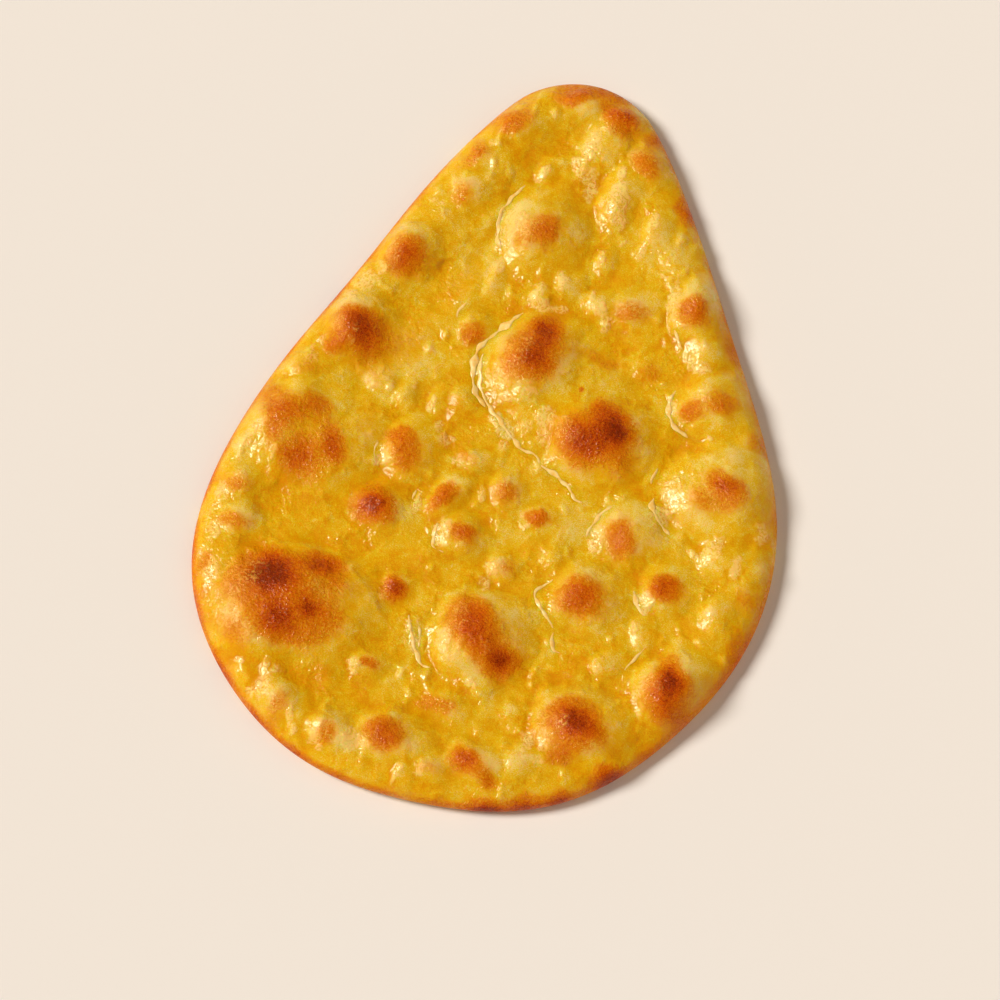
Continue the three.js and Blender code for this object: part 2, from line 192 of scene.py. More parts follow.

# ---------------------------------------------------------------- the melted butter and painted highlights

# Where butter clings as a thin cream film, partly a painted highlight on the flanks that face
# the key light: x, y, half width, half length, turn, how thick.
BUTTER_FILM_AND_HIGHLIGHTS = (
    (-8, 20, 4.5, 8, -15, 1.0), (-5, 31, 3.5, 6, -25, 0.55), (-6, 11, 4, 3, 0, 0.6),
    (8.5, 8, 3, 4.5, -15, 1.0), (14.5, 7, 2.5, 4, 0, 0.8), (19, 4, 4, 5, 0, 0.35),
    (-75, -74, 5, 6, 0, 0.8), (-74, -84, 5, 7, 0, 0.7), (-70, -66, 5, 4, 0, 0.4),
    (-68, -78, 5, 7, 0, 0.35), (-67, -90, 3, 2, 0, 0.4), (-84, -22, 3, 9, -18, 0.75),
    (-78, -9, 2.5, 4, 0, 0.5), (-75, -27, 1, 4, 10, 0.7), (-88, -44, 2.5, 4, 0, 0.8),
    (-87, -57, 3, 3.5, 0, 0.7), (-84, -72, 3, 6, 10, 0.8), (-82, -37, 2, 2, 0, 0.5),
    (-80, 3, 2, 3, 0, 0.4), (-62, 40, 4, 5, -25, 0.8), (-66, 34, 3, 3, 0, 0.6),
    (-55, 50, 3, 4, 0, 0.75), (-58, 45, 2.5, 3, 0, 0.7), (-66, 22, 2.5, 3.5, 0, 0.7),
    (-70, 16, 2, 3, 0, 0.6), (-73, 11, 2, 3, -20, 0.5), (-48, 8, 4, 5, -40, 0.45),
    (-39, -17, 2.8, 4.5, 0, 0.95), (-42, -20, 1.2, 3, 15, 0.8), (-44, -40, 1.8, 3, 10, 1.0),
    (-25, -32, 1.5, 4.5, -5, 0.9), (-20, -31, 1.2, 1.8, 0, 0.7), (-14, -39, 3, 5.5, 0, 0.9),
    (-16, -13, 2.5, 4, -20, 0.5), (-2, 104, 3, 6, -10, 0.9), (-5, 99, 3, 2, 0, 0.8),
    (-2, 95, 2, 3, 15, 0.9), (12, 88, 4, 7, 0, 0.95), (11, 98, 1.2, 4, 5, 0.8),
    (12, 82, 2.5, 3, 0, 0.8), (25.5, 84, 1.8, 5, -8, 0.85), (24, 74, 1.5, 4, 0, 0.8),
    (-20, 71, 4, 9, -5, 1.0), (-15, 70, 3, 5, 0, 0.7), (-20, 56, 2.2, 5, 0, 0.7),
    (-46, 73, 4, 4, 40, 0.5), (-43, 82, 2, 4, 20, 0.5), (38.5, 60, 2.5, 7, 5, 0.9),
    (40.5, 53, 2, 4, 30, 0.8), (53.5, 38, 4, 3, 0, 0.8), (53, 46, 3, 2, -30, 0.5),
    (57, -8, 5, 5.5, 0, 0.75), (62, -7, 3, 4, 0, 0.5), (60, 3, 5, 5, 0, 0.25),
    (35, -28, 3, 6, 5, 0.9), (34, -19, 2, 5, -20, 0.4), (73, -22, 3.5, 6, -15, 0.9),
    (67.5, -25.5, 1.2, 3.5, 60, 0.9), (82, -26, 1.8, 5, 5, 0.9), (77.5, -43, 1.8, 2.8, 0, 0.7),
    (56.5, -45, 2.6, 4, 25, 0.95), (65, -73, 4.5, 4, 0, 0.7), (61, -77, 1.5, 3, 0, 0.8),
    (66, -70, 3, 3, 0, 0.4), (36.5, -99, 3.2, 4.5, 5, 0.95), (35, -106.5, 4, 1.6, 0, 0.85),
    (-4, -75, 2.8, 4.5, 0, 1.0), (1.5, -76, 1.5, 3, 0, 0.7), (-1, -66, 3, 6, 0, 0.75),
    (10.5, -75, 1.2, 2.8, 0, 0.6), (-14, -77, 2, 8, 25, 0.7), (-24.5, -115.5, 2.8, 4.2, 0, 0.95),
    (-20, -116, 3.2, 2.6, 0, 0.85), (-36, -116, 2.6, 4, 0, 0.9), (-33.5, -120, 1.5, 1.5, 0, 0.8),
    (-45.5, -113, 1.3, 4, 12, 0.85), (-57, -106, 4, 4, 0, 0.85), (-58, -99, 1.4, 4, 5, 0.85),
    (-61, -108, 2, 3, 0, 0.6), (-7, -122, 1.6, 4, -20, 0.8), (0, -119.5, 1.8, 3, 0, 0.7),
    (-30.5, -91, 1.8, 3.2, 20, 0.9), (-27.5, -64.5, 1.5, 3, 10, 0.8), (30, -52, 1.6, 3.5, 5, 0.8),
    (34, -51, 2, 2.5, 0, 0.5), (4.5, -46.5, 2.4, 3.2, 15, 0.95), (8.5, -87.5, 2.2, 1.8, 0, 0.9),
    (13, -90, 2, 1, 0, 0.5), (-4, 1, 4, 3.5, -40, 1.0), (1, 14, 5, 4, -30, 0.45),
    (-3, 46, 6, 3, 0, 0.75), (12.5, 54, 1.5, 2.5, 0, 0.8), (48.5, 41, 1.2, 3, 10, 0.6),
    (62, 15, 1.6, 1.5, 0, 0.7), (-36.5, 8, 1.1, 3, -8, 0.7), (-51, 6, 1.3, 1.6, 0, 0.4),
    (-67, -99, 2, 1.6, 0, 0.7), (13, -29, 2, 1.1, 0, 0.7), (1.5, 112, 1.6, 1.2, 0, 0.7),
    (-16, 113, 1.2, 2, 10, 0.6), (-32, 103, 1.2, 2.6, -15, 0.7), (17.5, 74.5, 1.2, 2, -15, 0.7),
    (15.8, 50, 2.4, 3.6, 40, 1.0), (-6, 49.5, 2.2, 4, -15, 1.0), (1.5, 56.5, 2.2, 3.2, 20, 1.0),
    (-14.5, 92.5, 2, 3.2, -20, 1.0), (-33, 98, 1.8, 2, 0, 0.9), (11.8, 68, 1.7, 3.6, 5, 0.9),
    (-7, 3.5, 2, 3.6, 55, 1.0), (46, -70.5, 1.7, 3.4, 20, 1.0), (57, -46.5, 1.8, 2.6, 25, 1.0),
    (-5.5, -22.5, 1.4, 3, 5, 0.9), (-30, -91.5, 1.6, 2.6, 20, 1.0), (-29.5, 4, 1.4, 3.4, 0, 0.9),
    (-43.5, -117, 1.4, 2, 10, 0.9), (54.5, -54.5, 1.4, 2.8, 5, 0.9),
    (54, -15, 3.5, 4.5, 0, 0.85), (2, 91, 2.5, 6, 0, 0.8), (2, 3, 4, 4, 0, 0.5),
    (-6, 29, 4, 7, -25, 0.8), (16, 4, 3.5, 6, 0, 0.75), (-71, -70, 4, 8, 0, 0.7),
    (40, -93, 2.5, 4, 0, 0.75), (63, -74, 2.5, 4, 0, 0.7), (-61, 19, 2.5, 4, 0, 0.6),
    (9, 2.5, 2.5, 4, 0, 0.7), (-2.5, -4.5, 2, 2.5, 0, 0.7), (41, 56.5, 1.4, 3, 0, 0.7),
    (3.5, 46.5, 3.5, 2.2, 0, 0.7), (1, 95, 3, 3.5, 0, 0.75), (31, -101, 3, 5, 0, 0.65),
    (-54.5, -99.5, 2.5, 3, 0, 0.6), (19.5, 45.5, 2.5, 4, 0, 0.65), (15, 83, 2, 5, 0, 0.7),
    (-71.5, 8, 2.5, 3, 0, 0.6), (3.5, -52.5, 2.5, 3, 0, 0.6), (-22, -7.5, 3, 3, 0, 0.55),
    (-25, -3.5, 2.5, 3, 0, 0.6), (87, -13, 3, 5, 0, 0.6),
)

# Fine raised beads where the butter stands against the blisters: width, then points along each.
BUTTER_BEADS = (
    (1.7, ((-8, 43), (-13, 36), (-18, 29), (-19.8, 24), (-19.2, 18), (-17, 12), (-12, 7))),
    (1.2, ((-17.6, 25), (-17.4, 20), (-15.6, 14), (-12, 8.5), (-7, 4), (-2, 0), (0, -2))),
    (1.3, ((-1, -1), (3, -4), (8, -5), (10.5, -7.5))),
    (1.2, ((11, -8), (15, -9.5), (20, -12), (23, -14.5), (25, -16.5), (27.5, -17))),
    (1.2, ((-19.5, 87), (-22, 82), (-24.5, 76), (-25, 71), (-23.5, 66), (-21.5, 62))),
    (1.4, ((47.5, 29), (46.2, 25), (47.5, 20), (51, 16), (55.5, 13.8))),
    (0.9, ((48.5, 1), (47.8, -2), (47.7, -5))),
    (1.4, ((49.8, -9), (50.3, -13), (53.5, -17), (58, -20.5))),
    (1.2, ((51.5, -42), (52.8, -45), (56, -48.6), (58, -49.5))),
    (1.0, ((25, -45), (21.5, -49), (20.8, -52.5), (25, -57), (29.3, -61.5))),
    (1.2, ((29.8, -62.5), (30, -66), (31.5, -68.4), (34, -69))),
    (0.7, ((60, -60), (58, -64), (55, -70))),
    (1.2, ((-17.5, -69), (-15.5, -74), (-13, -79), (-9.5, -84), (-6, -84.8))),
    (1.0, ((-14.5, -70), (-12.5, -74), (-11.5, -79))),
    (1.1, ((-16.8, -36), (-17, -40), (-15.8, -44.5), (-12, -45.6))),
    (0.9, ((38, -15), (34.5, -19), (32.5, -24), (31.5, -29))),
    (1.0, ((41.5, 49), (43, 46.5), (46, 43))),
    (0.8, ((-27.5, 41), (-29.3, 38), (-29.3, 34.5))),
    (0.8, ((-26.5, -26), (-27, -30), (-26.5, -34))),
    (0.8, ((-43, -14), (-43.3, -18), (-41.5, -22))),
)

# ---------------------------------------------------------------- shape in numbers


def fade(t):
    """The even step 6t^5 - 15t^4 + 10t^3 from 0 to 1."""
    return t * t * t * (t * (6 * t - 15) + 10)


def soft_noise(x, y, size, seed):
    """Smooth random height, about -1 to 1. Each corner of a square lattice has a random slope;
    a point takes the heights of the four slopes round it, weighed by the even step."""
    rng = np.random.default_rng(seed)
    lattice = 64
    slope_turn = rng.uniform(0, 2 * np.pi, (lattice, lattice))
    u = x / size + rng.uniform(0, lattice)
    v = y / size + rng.uniform(0, lattice)
    i, j = np.floor(u).astype(int), np.floor(v).astype(int)
    a, b = u - i, v - j
    height = 0
    for di in (0, 1):
        for dj in (0, 1):
            turn = slope_turn[(i + di) % lattice, (j + dj) % lattice]
            rise = np.cos(turn) * (a - di) + np.sin(turn) * (b - dj)
            height = height + fade(1 - abs(a - di)) * fade(1 - abs(b - dj)) * rise
    return 1.6 * height


def hull_point(turn):
    """A point of the outline from its outward direction. The reach is a soft maximum of the
    discs' reaches, softness * log(sum(exp(reach / softness))), and its slope shifts sideways."""
    out_x, out_y = np.cos(turn), np.sin(turn)
    total, slope = 0, 0
    for x, y, radius in DISCS:
        weight = np.exp((radius + x * out_x + y * out_y) / HULL_SOFTNESS)
        total = total + weight
        slope = slope + weight * (y * out_x - x * out_y)
    reach, along = HULL_SOFTNESS * np.log(total), slope / total
    return reach * out_x - along * out_y, reach * out_y + along * out_x, reach


def rim_point(share):
    """Place and outward direction of the edge at a share of the way round it, by length."""
    turns = np.linspace(0, 2 * np.pi, 4001)
    x, y, _ = hull_point(turns)
    length = np.concatenate([[0], np.cumsum(np.hypot(np.diff(x), np.diff(y)))])
    turn = np.interp(share % 1 * length[-1], length, turns)
    x, y, _ = hull_point(turn)
    out_x, out_y = np.cos(turn), np.sin(turn)
    wander = sum(h * np.sin(2 * np.pi * count * share + start) for count, h, start in EDGE_WAVES)
    return x + wander * out_x, y + wander * out_y, out_x, out_y


def depth_inside(x, y):
    """How far a point lies in from the outline: the least gap to any line that touches it."""
    depth = np.full(np.shape(x), np.inf)
    for turn in np.linspace(0, 2 * np.pi, 240, endpoint=False):
        _, _, reach = hull_point(turn)
        depth = np.minimum(depth, reach - x * np.cos(turn) - y * np.sin(turn))
    return depth


def rounded_rise(inset, depth):
    """A quarter ellipse: 0 at the edge, 1 once the inset is as large as the depth."""
    return np.sqrt(1 - (1 - np.clip(inset / depth, 0, 1)) ** 2)


def bell(distance, middle, width):
    """1 at the middle distance, falling off as exp(-t^2) over the width."""
    return np.exp(-(((distance - middle) / width) ** 2))


def oval_distance(x, y, row):
    """Distance from an oval's middle, 1 on the oval: turned, then divided by its half sizes."""
    middle_x, middle_y, half_width, half_length, turn = row[:5]
    c, s = math.cos(math.radians(turn)), math.sin(math.radians(turn))
    across, along = x - middle_x, y - middle_y
    u = (c * across + s * along) / half_width
    v = (c * along - s * across) / half_length
    return np.sqrt(u * u + v * v)


def wandered(x, y, noises, seed):
    """The points moved by a broad and a fine noise, so that ovals there have uneven outlines."""
    (broad, wide), (fine, narrow) = noises
    moved_x = x + broad * soft_noise(x, y, wide, seed) + fine * soft_noise(x, y, narrow, seed + 1)
    seed = seed + 2
    moved_y = y + broad * soft_noise(x, y, wide, seed) + fine * soft_noise(x, y, narrow, seed + 1)
    return moved_x, moved_y


def dome_rise(x, y):
    """Rise of the blisters. Each dome is rise * (1 - (s / foot)^2)^soft, where s is the oval
    distance, less on the side of its longer slope. Where domes meet their squares are added."""
    x, y = wandered(x, y, DOME_WANDER, 3)
    squares = 0
    for domes, soft in ((LARGE_DOMES, 1.45), (MIDDLE_DOMES, 1.6), (SMALL_DOMES, 1.7)):
        for row in domes:
            side = np.clip((x - row[0]) / row[2], -1, 1)
            s = oval_distance(x, y, row) / (1 + DOME_LEAN * side)
            squares = squares + (row[5] * np.clip(1 - (s / DOME_FOOT) ** 2, 0, 1) ** soft) ** 2
    return np.sqrt(squares)


def wet_lumps(x, y):
    """Small uneven lumps between the blisters: what of the fine noise stands above a level,
    in the places where a broader noise lets it."""
    where = np.clip(0.55 + 0.8 * soft_noise(x, y, 17, 20), 0, 1)
    fine = np.clip(soft_noise(x, y, 4.2, 21) - 0.12, 0, 1)
    return 1.6 * where * fine ** 1.4


def smooth_path(points, step):
    """Points close together along a rounded line through the given ones (Catmull-Rom)."""
    p = np.array([points[0], *points, points[-1]], float)
    t = np.linspace(0, 1, 24, endpoint=False)[:, None]
    parts = []
    for a, b, c, d in zip(p, p[1:], p[2:], p[3:]):
        parts.append(0.5 * (2 * b + (c - a) * t + (2 * a - 5 * b + 4 * c - d) * t ** 2
                            + (3 * b - a - 3 * c + d) * t ** 3))
    line = np.concatenate([*parts, p[-1:]])
    length = np.concatenate([[0], np.cumsum(np.hypot(*np.diff(line, axis=0).T))])
    even = np.linspace(0, length[-1], int(length[-1] / step) + 1)
    return np.interp(even, length, line[:, 0]), np.interp(even, length, line[:, 1]), even


def fold_rise(x, y):
    """Rise of the folds: each is a bell across its line that runs out at both ends."""
    rise = 0
    for height, width, points in FOLDS:
        line_x, line_y, along = smooth_path(points, 1.0)
        nearest, ends = np.full(np.shape(x), np.inf), np.zeros(np.shape(x))
        fades = np.clip(np.minimum(along, along[-1] - along) / 12, 0, 1)
        for px, py, share in zip(line_x, line_y, fades):
            gap = np.hypot(x - px, y - py)
            ends = np.where(gap < nearest, share, ends)
            nearest = np.minimum(nearest, gap)
        rise = np.maximum(rise, height * ends * bell(nearest, 0, width))
    return rise


def full_height(x, y):
    """Height of the top before its edge is rounded: dough and rim, less a valley that runs
    behind the rim on the flank towards -X, then domes, waves, lumps, folds and butter."""
    depth = depth_inside(x, y)
    rim = RIM_RISE * bell(depth, RIM_INSET, RIM_WIDTH)
    flank = np.clip((y + 40) / 50, 0, 1) * np.clip((20 - x) / 40, 0, 1)
    valley = VALLEY_DEPTH * flank * bell(depth, VALLEY_INSET, VALLEY_WIDTH)
    domes = dome_rise(x, y)
    waves = sum(height * soft_noise(x, y, size, seed) for height, size, seed in DOUGH_WAVES)
    lumps = wet_lumps(x, y) * (1 - 0.6 * np.clip(domes / 2, 0, 1))
    butter = BUTTER_THICKNESS * buttered_and_highlighted(x, y)
    return DOUGH_THICKNESS + rim - valley + domes + waves + lumps + fold_rise(x, y) + butter


def under_height(x, y):
    """The underside: flat where it rests, and lifted a little in soft dimples between."""
    lift = 0.35 + 0.7 * soft_noise(x, y, 15, 11) + 0.35 * soft_noise(x, y, 6, 12)
    return np.maximum(0, lift)


def baked_and_shaded(x, y):
    """How brown the top is, 0 to 1, where some light rows are painted shade. Each scorch fades
    from its middle as a core, exp(-(s / 0.9)^2.4), in a wide halo, exp(-(s / 1.5)^2), and what one
    leaves pale the next may still brown."""
    x, y = wandered(x, y, SCORCH_WANDER, 13)
    pale = 1
    for row in DARK_SCORCHES + LIGHT_SCORCHES_AND_SHADE:
        s = oval_distance(x, y, row)
        core, halo = np.exp(-((s / 0.9) ** 2.4)), np.exp(-((s / 1.5) ** 2))
        pale = pale * (1 - row[5] * (0.82 * core + 0.18 * halo))
    return 1 - pale


def buttered_and_highlighted(x, y):
    """How much butter clings, 0 to 1, partly a painted highlight: the thickest of the films,
    thickness * exp(-s^3).
    """
    x, y = wandered(x, y, FILM_WANDER, 22)
    film_and_highlight = 0
    for row in BUTTER_FILM_AND_HIGHLIGHTS:
        film_and_highlight = np.maximum(film_and_highlight, row[5] * np.exp(-(oval_distance(x, y, row) ** 3)))
    return film_and_highlight


def lee_shade_side(x, y):
    """Painted shade, 0 to 1, on the flank of a blister that faces away from the key light: how far
    the domes fall from a step behind a point to a step ahead of it, as a share of the full fall."""
    turn = math.radians(LEE_TURN)
    step_x, step_y = LEE_STEP * math.cos(turn), LEE_STEP * math.sin(turn)
    behind, ahead = dome_rise(x - step_x, y - step_y), dome_rise(x + step_x, y + step_y)
    return np.clip((behind - ahead) / LEE_FALL, 0, 1)


def edge_baked_and_shaded(x, y, inset):
    """Bands of browning and painted shade along the edge, each share * exp(-(inset / depth)^2),
    strongest on the side named by the edge's turn and broken into patches."""
    facing = np.cos(np.arctan2(y, x) - math.radians(EDGE_DARKEST_TURN))
    patches = 0.75 + 0.5 * soft_noise(x, y, 14, 17)
    bands = sum(share * bell(inset, 0, depth) for share, depth in EDGE_BANDS)
    return EDGE_BAKE_AND_SHADE * (0.7 + 0.3 * facing) * patches * bands


def under_baked(x, y):
    """Toasted freckles of the underside: where two sizes of noise both stand high."""
    spots = soft_noise(x, y, 9, 18) + 0.6 * soft_noise(x, y, 4, 19)
    return 0.75 * np.clip((spots - 0.25) / 0.9, 0, 1)


# ---------------------------------------------------------------- the bread's skin

# The top and the underside are square sheets of cells bent to the outline. The sheets' outer
# rings follow the rounded edge, and the rows between them go down from its middle to the foot.
TOP_CELLS, NOSE_RINGS = 268, 14
FOOT_ROWS = 6
UNDER_CELLS, FOOT_RINGS = 134, 4
UNDER_INSET, UNDER_DEPTH = FOOT_DEPTH - 0.4, FOOT_DEPTH + 2

# A hollow is measured against the height blurred this many times, over this depth, near and far.
NEAR_BLUR, NEAR_DEPTH = 30, 1.4
FAR_BLUR, FAR_DEPTH = 260, 5

# The baking map: the edge unrolled flat, millimetres for the nose and for each row below it;
# then for the top and for the underside the place of its middle on the map and the millimetres
# across the map.
UNROLLED_NOSE, UNROLLED_ROW = 9.5, 1.2
TOP_MAP = (0.36, 0.5, 300, 300)
UNDER_MAP = (0.86, 0.5, -700, 700)


def square_rings(cells):
    """For each vertex of a square grid: its square ring, from 0 in the middle to 1 at the
    border, and its share of the way round that ring, counted from the +x side."""
    half = cells // 2
    a, b = np.meshgrid(np.arange(-half, half + 1), np.arange(-half, half + 1))
    ring = np.maximum(abs(a), abs(b))
    on_side = abs(a) >= abs(b)
    eighths = np.where(on_side, b / np.where(a == 0, 1, a), 2 - a / np.where(b == 0, 1, b))
    far_side = np.where(on_side, a < 0, b < 0)
    return (ring / half).ravel(), ((eighths + 4 * far_side) / 8 % 1).ravel()


def border_order(cells):
    """The grid's border vertices in order round the rim."""
    ring, share = square_rings(cells)
    border = np.flatnonzero(ring == 1)
    return border[np.argsort(share[border])]


def grid_triangles(cells, upward):
    """Two triangles a cell, cut along the diagonal that runs out from the middle."""
    column, row = np.meshgrid(np.arange(cells), np.arange(cells))
    corner = (row * (cells + 1) + column).ravel()
    above = corner + cells + 1
    outward = ((column < cells // 2) == (row < cells // 2)).ravel()
    first = np.where(outward[:, None], np.stack([corner, corner + 1, above + 1], 1),
                     np.stack([corner, corner + 1, above], 1))
    second = np.where(outward[:, None], np.stack([corner, above + 1, above], 1),
                      np.stack([corner + 1, above + 1, above], 1))
    triangles = np.concatenate([first, second])
    return triangles if upward else triangles[:, ::-1]


def band_triangles(upper, lower):
    """Triangles between two closed rows, the lower one with as many vertices or half."""
    if len(upper) == len(lower):
        upper_next, lower_next = np.roll(upper, -1), np.roll(lower, -1)
        return np.concatenate([
            np.stack([upper, lower, lower_next], 1), np.stack([upper, lower_next, upper_next], 1),
        ])
    even, odd = upper[::2], upper[1::2]
    even_next, lower_next = np.roll(even, -1), np.roll(lower, -1)
    return np.concatenate([
        np.stack([even, lower, odd], 1), np.stack([odd, lower, lower_next], 1),
        np.stack([odd, lower_next, even_next], 1),
    ])


def sheet_places(ring, share, depth, edge_rings, first_inset=0.0):
    """Plan places of a sheet. The outer rings step in from the edge along a quarter turn of
    the given depth, the inner ones shrink towards the middle. Also gives each inset."""
    rim_x, rim_y, out_x, out_y = rim_point(share)
    edge_share = np.clip((1 - ring) / edge_rings, 0, 1)
    inset = first_inset + (depth - first_inset) * (1 - np.cos(edge_share * np.pi / 2))
    scale = np.clip(ring / (1 - edge_rings), 0, 1)
    shore_x, shore_y = rim_x - inset * out_x, rim_y - inset * out_y
    inset = inset + (1 - scale) * (shore_x * out_x + shore_y * out_y)
    return shore_x * scale, shore_y * scale, inset


def blurred(grid, times):
    """A grid of heights, each replaced again and again by the mean of its neighbours."""
    for _ in range(times):
        padded = np.pad(grid, 1, mode="edge")
        sides = padded[:-2, 1:-1] + padded[2:, 1:-1] + padded[1:-1, :-2] + padded[1:-1, 2:]
        grid = (grid + sides) / 5
    return grid


def hollows(full):
    """How deep each point of the top lies, from -1.2 on a crest to 1.2 in a dip: how far it is
    below the mean height close round it and below the mean height far round it."""
    side = TOP_CELLS + 1
    near = blurred(full.reshape(side, side), NEAR_BLUR)
    far = blurred(near, FAR_BLUR)
    dips = np.clip((near.ravel() - full) / NEAR_DEPTH, -0.6, 0.6)
    return dips + np.clip((far.ravel() - full) / FAR_DEPTH, -0.6, 0.6)


def skin_masks(x, y, inset, full):
    """What the crust material reads at each vertex: how baked, with some painted shade, how deep in
    a hollow, how buttered, partly as a painted highlight, and how far on the underside. The top's
    vertices come first."""
    under = np.clip((inset - 1) / 4, 0, 1) * (np.arange(len(x)) >= len(full))
    bake_and_shade = baked_and_shaded(x, y) * (1 - under) + under_baked(x, y) * under
    lee_shade_amber = LEE_SHADE * lee_shade_side(x, y) * (1 - under)
    return {
        "bake_and_shade": np.clip(np.hypot(bake_and_shade, lee_shade_amber) + edge_baked_and_shaded(x, y, inset), 0, 1),
        "hollow": np.concatenate([hollows(full), np.zeros(len(x) - len(full))]),
        "butter": buttered_and_highlighted(x, y) * (1 - under),
        "under": under,
    }


def on_map(x, y, sheet):
    """Flat places as map places: the middle of the sheet's own part plus x and y over scale."""
    return np.stack([sheet[0] + x / sheet[2], sheet[1] + y / sheet[3]], 1)


def foot_places():
    """Vertices of the rows below the middle of the edge: each one's share of the way round,
    row, plan place and inset."""
    rim_count = 4 * TOP_CELLS
    share = np.tile(np.arange(rim_count) / rim_count, FOOT_ROWS)
    row = np.repeat(np.arange(1, FOOT_ROWS + 1), rim_count)
    rim_x, rim_y, out_x, out_y = rim_point(share)
    inset = FOOT_DEPTH * (1 - np.cos(row / (FOOT_ROWS + 1) * np.pi / 2))
    return share, row, rim_x - inset * out_x, rim_y - inset * out_y, inset


def skin_triangles(top_count, foot_count):
    """Triangles of the top with its edge down to the foot, and those of the underside."""
    foot_rows = top_count + np.arange(foot_count).reshape(FOOT_ROWS, -1)
    base_start = top_count + foot_count
    rows = [border_order(TOP_CELLS), *foot_rows, base_start + border_order(UNDER_CELLS)]
    bands = [band_triangles(upper, lower) for upper, lower in zip(rows, rows[1:])]
    above = np.concatenate([grid_triangles(TOP_CELLS, True), *bands])
    return above, grid_triangles(UNDER_CELLS, False) + base_start


def unrolled(top_inset, foot_row, foot_inset, under_count):
    """How far outwards each vertex moves on the map, so that the steep edge lies flat there:
    the nose by its share of a quarter turn, the rows below one after the other."""
    on_nose = np.clip(top_inset, 0, NOSE_DEPTH)
    eased = np.arccos(1 - on_nose / NOSE_DEPTH) / (np.pi / 2)
    past_rim = UNROLLED_NOSE - NOSE_DEPTH
    under_start = past_rim + (FOOT_ROWS + 1) * UNROLLED_ROW + UNDER_INSET
    return np.concatenate([
        (1 - eased) * UNROLLED_NOSE - NOSE_DEPTH + on_nose,
        past_rim + foot_row * UNROLLED_ROW + foot_inset,
        np.full(under_count, under_start),
    ])


def skin():
    """Vertices, triangles and masks of the whole bread in millimetres, and its baking map:
    the top with the edge unrolled outwards round it, and the underside, mirrored, beside it."""
    ring, top_share = square_rings(TOP_CELLS)
    top_x, top_y, top_inset = sheet_places(
        ring, top_share, NOSE_DEPTH, 2 * NOSE_RINGS / TOP_CELLS)
    foot_share, foot_row, foot_x, foot_y, foot_inset = foot_places()
    ring, under_share = square_rings(UNDER_CELLS)
    under_x, under_y, under_inset = sheet_places(
        ring, under_share, UNDER_DEPTH, 2 * FOOT_RINGS / UNDER_CELLS, UNDER_INSET)
    x = np.concatenate([top_x, foot_x, under_x])
    y = np.concatenate([top_y, foot_y, under_y])
    inset = np.concatenate([top_inset, foot_inset, under_inset])

    full = full_height(top_x, top_y)
    top_z = EDGE_MIDDLE + (full - EDGE_MIDDLE) * rounded_rise(top_inset, NOSE_DEPTH)
    low = under_height(x, y) * np.clip((inset - 3) / 12, 0, 1)
    below = low + (EDGE_MIDDLE - low) * (1 - rounded_rise(inset, FOOT_DEPTH))
    z = np.concatenate([top_z, below[len(top_z):]])

    above, base = skin_triangles(len(top_x), len(foot_x))
    _, _, out_x, out_y = rim_point(np.concatenate([top_share, foot_share, under_share]))
    out = unrolled(top_inset, foot_row, foot_inset, len(under_x))
    top_map = on_map(x + out_x * out, y + out_y * out, TOP_MAP)
    baking = np.concatenate([top_map[above], on_map(x, y, UNDER_MAP)[base]])

    masks = skin_masks(x, y, inset, full)
    return np.stack([x, y, z], 1), np.concatenate([above, base]), masks, baking


def make_piece(name, points, faces, masks, baking=None):
    """A smooth mesh object at the origin from points in millimetres, with its masks and,
    if given, a baking map with one place for each corner of each face."""
    mesh = bpy.data.meshes.new(name)
    mesh.vertices.add(len(points))
    mesh.vertices.foreach_set("co", (points * MM).astype(np.float32).ravel())
    mesh.loops.add(faces.size)
    mesh.loops.foreach_set("vertex_index", faces.astype(np.int32).ravel())
    mesh.polygons.add(len(faces))
    mesh.polygons.foreach_set("loop_start", np.arange(0, faces.size, faces.shape[1]))
    mesh.update(calc_edges=True)
    mesh.validate()
    mesh.shade_smooth()
    for mask, values in masks.items():
        layer = mesh.attributes.new(mask, "FLOAT", "POINT")
        layer.data.foreach_set("value", values.astype(np.float32))
    if baking is not None:
        layer = mesh.uv_layers.new(name="OFBake")
        layer.data.foreach_set("uv", baking.astype(np.float32).ravel())
    piece = bpy.data.objects.new(name, mesh)
    bpy.context.scene.collection.objects.link(piece)
    return piece


# ---------------------------------------------------------------- butter that stands proud

# A bead's rings: the step between them, the points in each, how high it stands as a share of
# its width, how deep its foot is sunk, and over what length it runs out at its ends. Then the
# lengths of the waves in its width, and the first bead's random seed.
BEAD_STEP, BEAD_SPOKES, BEAD_SHARE, BEAD_SUNK, BEAD_END = 0.35, 12, 0.17, 0.12, 3.5
BEAD_WAVES, BEAD_SEED = (5.3, 9.1, 17), 300


